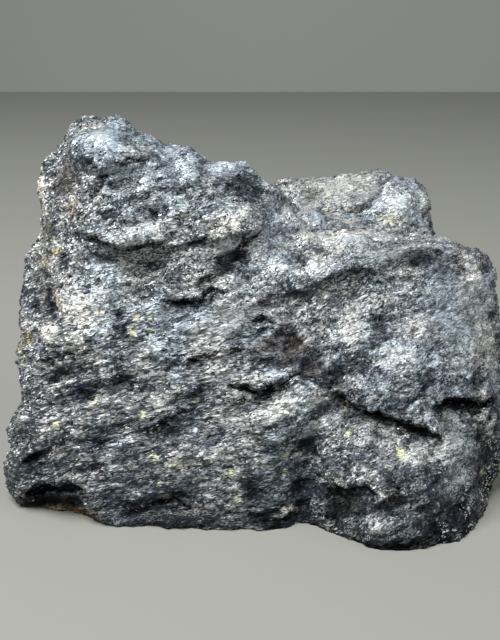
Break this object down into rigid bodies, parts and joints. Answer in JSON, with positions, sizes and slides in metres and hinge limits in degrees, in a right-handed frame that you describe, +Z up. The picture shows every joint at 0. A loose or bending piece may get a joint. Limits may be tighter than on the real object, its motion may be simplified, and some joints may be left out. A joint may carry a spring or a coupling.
{
  "type": "siegenite specimen",
  "caption": "Free-standing hand specimen of massive steel-grey siegenite ore, a rough broken stone with a broad ledged face and a flat foot to rest on.",
  "frame": {"origin": "middle of the box round the stone, on the surface it rests on", "axes": "+Z up from the surface it rests on, +X along its length, and -Y out of its broad ledged face"},
  "size_m": [0.0862, 0.0714, 0.0626],
  "materials": {
    "siegenite": "rough broken surface of fine steel-grey metallic grains"
  },
  "bodies": {
    "root": {"siegenite": "siegenite"}
  },
  "joints": []
}
